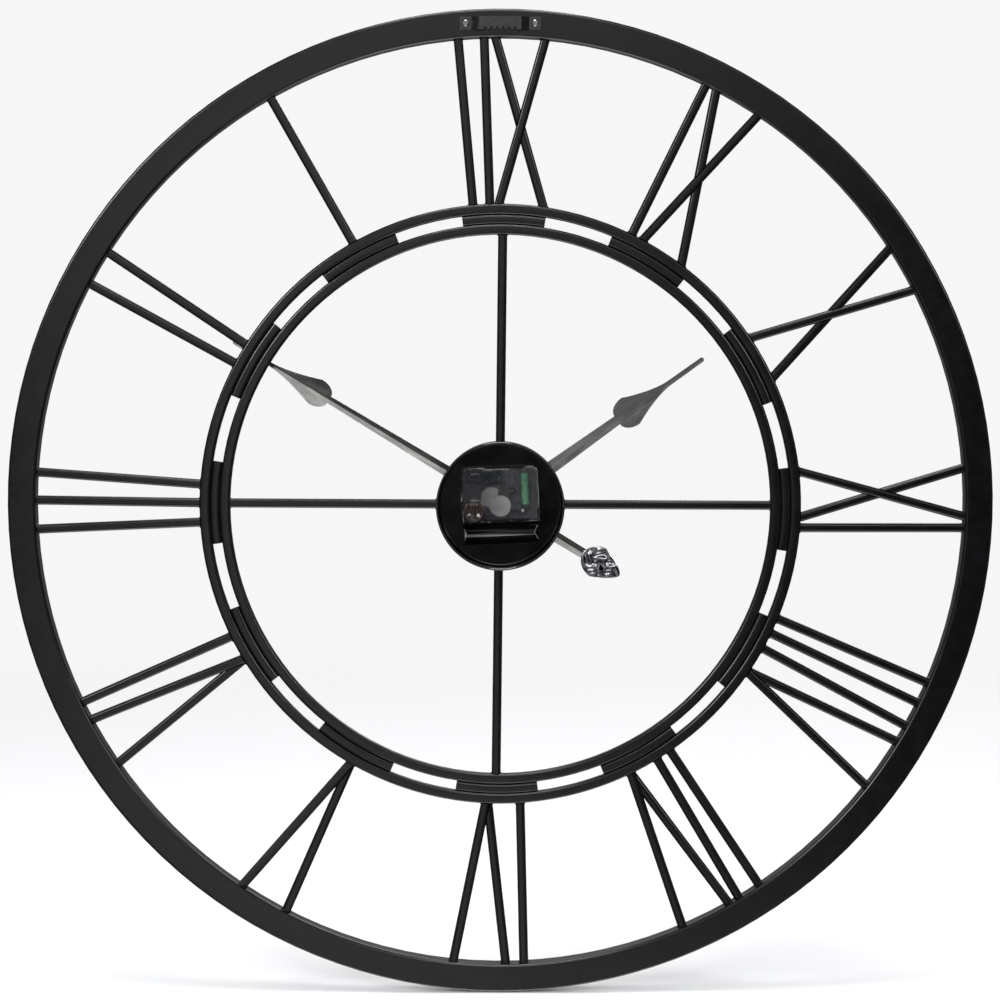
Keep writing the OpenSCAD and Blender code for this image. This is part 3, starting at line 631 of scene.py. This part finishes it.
def make_knob():
    """The setting knob: a glossy bowl with a rounded grip across it."""
    low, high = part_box("setting_knob")
    middle = ((low.x + high.x) / 2, (low.z + high.z) / 2)
    radius = (high.x - low.x) / 2
    edge, foot, rim, bowl = 0.8 * MM, 0.4 * MM, 1.5 * MM, 1.8 * MM
    grip_half, rim_y = 1.2 * MM, high.y - 0.8 * MM
    rings, around = 48, 180

    def face(across, up):
        """Depth of the rear face: a rounded edge, a flat rim, then the bowl with the grip standing in it."""
        reach = math.hypot(across, up)
        share = min(1, reach / (radius - rim))
        hollow = rim_y - bowl * (1 - share ** 2)
        over = min(edge, max(0, reach - (radius - edge)))
        grip = max(0, 1 - abs(across / grip_half) ** 3) * (1 - share ** 10)
        return hollow + (high.y - hollow) * grip - edge + math.sqrt(edge ** 2 - over ** 2)

    profile = [(radius * i / rings, rim_y) for i in range(rings, -1, -1)]
    profile += [(0, low.y), (radius - foot, low.y), (radius, low.y + foot)]
    verts, faces = lathe(profile, middle, around, True)
    for i in range((rings + 1) * around):
        x, y, z = verts[i]
        across, _, up = turned_to(-case_turn, x - middle[0], 0, z - middle[1])
        verts[i] = (x, face(across, up), z)
    piece("moulded_knob", verts, faces, MATERIALS["brown_knob_plastic"], "setting",
          stands_for="setting_knob")


def make_winding():
    """Turns of enamelled wire on the bobbin, as one helical surface."""
    low, high = box_turned("coil_winding", case_turn)
    radius = (high.x - low.x) / 2
    middle = ((high.x + low.x) / 2, (high.y + low.y) / 2)
    wire, groove, samples, around = 0.36 * MM, 0.09 * MM, 6, 40
    sag, sag_length = 0.06 * MM, 3.1 * MM
    length = high.z - low.z
    rows = round(length / wire * samples)
    verts = []
    for i in range(rows + 1):
        along = length * i / rows
        thin = sag * math.sin(along / sag_length) ** 2
        for angle in circle(around):
            across = 2 * ((along / wire + angle / (2 * math.pi)) % 1) - 1
            r = radius - thin - groove * (1 - math.sqrt(max(0, 1 - across ** 2)))
            x, y = middle[0] + r * math.sin(angle), middle[1] + r * math.cos(angle)
            verts.append(turned_to(case_turn, x, y, low.z + along))
    for z in (high.z, low.z):
        verts += [turned_to(case_turn, *middle, z)] * around
    last = (rows + 1) * around
    faces = grid_faces(rows + 2, around) + band_faces(0, last + around, around)
    piece("wound_coil", verts, faces, MATERIALS["green_enamel_wire"], "frame",
          stands_for="coil_winding", sharp=60)


def make_bushing():
    """The threaded brass tube that the movement hangs on."""
    low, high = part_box("threaded_bushing")
    outer = high.x
    bore, bore_edge = 2.55 * MM, 0.2 * MM
    pitch, depth, chamfer = 0.75 * MM, 0.32 * MM, 0.5 * MM
    samples, around = 8, 72
    rows = round((high.y - low.y) / pitch * samples)
    profile = [(bore, high.y), (bore, low.y + bore_edge), (bore + bore_edge, low.y), (outer - chamfer, low.y)]
    profile += [(outer, low.y + (high.y - low.y) * i / rows) for i in range(1, rows)]
    profile += [(outer - chamfer, high.y)]

    def thread(radius, angle, y):
        if radius < outer:
            return radius
        cut = depth * triangle_wave((y - low.y) / pitch + angle / (2 * math.pi))
        run_out = chamfer * max(0, 1 - (y - low.y) / chamfer)
        return min(outer - cut, outer - run_out)

    verts, faces = lathe(profile, (0, 0), around, True, thread)
    piece("threaded_tube", verts, faces, MATERIALS["brass_fittings"], "frame",
          stands_for="threaded_bushing", sharp=30)


def make_hex_nut():
    """A thin nut with both faces chamfered at its corners and bore."""
    low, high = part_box("hex_nut")
    sixth = math.pi / 3
    flat = high.x * math.cos(sixth / 2)
    bore, inset = 3.95 * MM, 0.3 * MM
    face_edge, least_drop = 0.1 * MM, 0.05 * MM
    slope = math.tan(math.radians(30))
    around = 144

    def section(side):
        """(radius, y) corners of a cut through the nut, where its side stands at the radius `side`."""
        drop = (side - flat) * slope + least_drop
        face = [(bore, inset), (bore + inset, 0), (flat - face_edge, 0), (side, drop)]
        return [(r, low.y + depth) for r, depth in face] + [(r, high.y - depth) for r, depth in face[::-1]]

    rows = len(section(flat))
    verts = []
    for row in range(rows):
        for angle in circle(around):
            r, y = section(flat / math.cos(angle % sixth - sixth / 2))[row]
            verts.append((r * math.sin(angle), y, r * math.cos(angle)))
    faces = grid_faces(rows, around, round_rows=True)
    piece("chamfered_nut", verts, faces, MATERIALS["brass_fittings"], "frame",
          stands_for="hex_nut", sharp=25)


def wheel_face(node, at, tip):
    """Depth of the rear face of a wheel's toothed disc."""
    return max(v.y for v in vertices_of(node) if math.hypot(v.x - at[0], v.z - at[1]) > tip * 0.9)


def make_wheel_webs():
    """Raised rim and hub on the rear faces of the wheels that show through the cover."""
    rise, slope = 0.08 * MM, 0.01
    # where each ring starts and how wide it is, as shares of the wheel's radius
    rings = {"rim": (0.8, 0.08), "hub": (0.2, 0.1)}
    for node, body in (("second_wheel", "second"), ("third_wheel", "third")):
        low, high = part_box(node)
        at = ((low.x + high.x) / 2, (low.z + high.z) / 2)
        tip = (high.x - low.x) / 2
        face = wheel_face(node, at, tip)
        for ring, (start, wide) in rings.items():
            steps = ((start, 0), (start + slope, rise), (start + wide, rise), (start + wide + slope, 0))
            profile = [(tip * share, face + height) for share, height in steps]
            verts, faces = lathe(profile, at, 72, True)
            piece(f"{node}_{ring}", verts, faces, OWN_MATERIALS[node], body, sharp=30)


# solder joints on the circuit board, as shares of its width and height
SOLDER = [(0.06, 0.16), (0.06, 0.42), (0.30, 0.14), (0.52, 0.14), (0.64, 0.5), (0.72, 0.16), (0.9, 0.55)]


def make_solder():
    low, high = box_turned("circuit_board", case_turn)
    dome = [(0, 0.34 * MM), (0.25 * MM, 0.3 * MM), (0.45 * MM, 0.18 * MM), (0.6 * MM, 0), (0, 0)]
    profile = [(r, high.y + height) for r, height in dome]
    for number, (across, up) in enumerate(SOLDER, 1):
        x, z = low.x + (high.x - low.x) * across, low.z + (high.z - low.z) * up
        centre = turned_to(case_turn, x, high.y, z)
        verts, faces = lathe(profile, (centre.x, centre.z), 20)
        piece(f"solder_{number}", verts, faces, MATERIALS["nickel"], "frame", sharp=60)


def make_tracks():
    """A straight copper track halfway up between neighbouring solder joints, where it is long enough."""
    low, high = box_turned("circuit_board", case_turn)
    thick, wide = 0.06 * MM, 0.7 * MM
    for number, (start, end) in enumerate(zip(SOLDER, SOLDER[1:]), 1):
        z = low.z + (high.z - low.z) * (start[1] + end[1]) / 2
        x0 = low.x + (high.x - low.x) * start[0]
        x1 = low.x + (high.x - low.x) * end[0]
        if x1 - x0 < 2 * wide:
            continue
        corners = [(x0, z - wide / 2), (x1, z - wide / 2), (x1, z + wide / 2), (x0, z + wide / 2)]
        verts = [turned_to(case_turn, x, high.y + y, z) for y in (0, thick) for x, z in corners]
        faces = [(0, 1, 2, 3), (4, 5, 6, 7)] + [(i, (i + 1) % 4, (i + 1) % 4 + 4, i + 4) for i in range(4)]
        piece(f"copper_track_{number}", verts, faces, MATERIALS["nickel"], "frame", sharp=30)


def make_coil_pin():
    """A moulded pin below the coil, from the middle plate up towards the cover."""
    coil_low, coil_high = box_turned("coil_winding", case_turn)
    at = turned_to(case_turn, coil_high.x - 0.8 * MM, 0, coil_low.z - 4.6 * MM)
    foot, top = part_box("middle_plate")[0].y + 0.3 * MM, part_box("rear_cover")[1].y - 1.6 * MM
    r = 1.1 * MM
    profile = [(0, foot), (r, foot), (r, top - 0.5 * MM), (0.8 * r, top - 0.12 * MM), (0, top)]
    verts, faces = lathe(profile, (at.x, at.z), 32)
    piece("coil_pin", verts, faces, OWN_MATERIALS["third_wheel"], "frame", sharp=40)


# ---- welds ----

def runs_on_circle(name, radius):
    """Spans of angle where a node's bars meet the circle, from its vertices there."""
    near = 0.15 * MM
    apart = 1.2 * MM / radius
    met = [v for v in vertices_of(name) if abs(math.hypot(v.x, v.z) - radius) < near]
    angles = sorted(math.atan2(v.x, v.z) for v in met)
    spans = []
    for angle in angles:
        if spans and angle - spans[-1][1] < apart:
            spans[-1][1] = angle
        else:
            spans.append([angle, angle])
    if len(spans) > 1 and spans[0][0] + 2 * math.pi - spans[-1][1] < apart:
        spans[0][0] = spans.pop()[0] - 2 * math.pi
    return spans


def weld_bead(radius, span, half_depth, mid_y, inside):
    """A lumpy bead along the two sides of a bar's end, on the ring that the bar meets."""
    sides, steps = 8, 13
    thick, lumps, wander_most = 0.62 * MM, 0.22, 0.12 * MM
    overlap, depth_share = 0.1 * MM, 0.86
    verts, faces = [], []
    for end, outward in ((0, -1), (1, 1)):
        angle = span[end] + outward * overlap / radius
        first = len(verts)
        for i in range(steps):
            share = i / (steps - 1)
            y = mid_y + half_depth * (2 * share - 1) * depth_share
            taper = 0.35 + 0.65 * math.sin(math.pi * (0.12 + 0.76 * share))
            swell = thick * (1 + lumps * rng.uniform(-1, 1)) * taper
            wander = wander_most * rng.uniform(-1, 1)
            for turn in circle(sides):
                r = radius + swell * math.cos(turn) - inside * wander
                along = angle + swell * math.sin(turn) / radius
                verts.append((r * math.sin(along), y, r * math.cos(along)))
        faces += grid_faces(steps, sides, first)
        faces += [tuple(range(start, start + sides)) for start in (first, first + (steps - 1) * sides)]
    return verts, faces


def make_welds():
    """Beads where the numerals meet the rim and the outer ring, and the spokes the inner ring and the cup."""
    least_span = 3 * MM
    bar_low, bar_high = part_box("spoke_left")
    half_depth, mid_y = (bar_high.y - bar_low.y) / 2, (bar_high.y + bar_low.y) / 2
    numerals = sorted(n for n in nodes if n.startswith("numeral_"))
    spokes = sorted(n for n in nodes if n.startswith("spoke_"))
    rim_inner = min(math.hypot(v.x, v.z) for v in vertices_of("outer_rim"))
    ring_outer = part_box("chapter_ring_outer")[1].x
    ring_inner = min(math.hypot(v.x, v.z) for v in vertices_of("chapter_ring_inner"))
    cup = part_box("movement_cup")[1].x
    # the bars, the circle that they meet, which way the bar lies from it, and which end of the bar it is
    ends = ((numerals, rim_inner, 1, "outer"), (numerals, ring_outer, -1, "inner"),
            (spokes, ring_inner, 1, "outer"), (spokes, cup, -1, "inner"))
    for group, radius, inside, where in ends:
        for node in group:
            verts, faces = [], []
            for span in runs_on_circle(node, radius):
                if (span[1] - span[0]) * radius < least_span:
                    continue
                more, extra = weld_bead(radius, span, half_depth, mid_y, inside)
                faces += [tuple(v + len(verts) for v in face) for face in extra]
                verts += more
            if verts:
                piece(f"{node}_{where}_welds", verts, faces, MATERIALS["satin_black_steel"], "frame",
                      sharp=60)


make_stage()
dress_nodes()
soften_nodes()
make_counterweight()
make_knob()
make_winding()
make_bushing()
make_hex_nut()
make_wheel_webs()
make_solder()
make_tracks()
make_coil_pin()
make_welds()
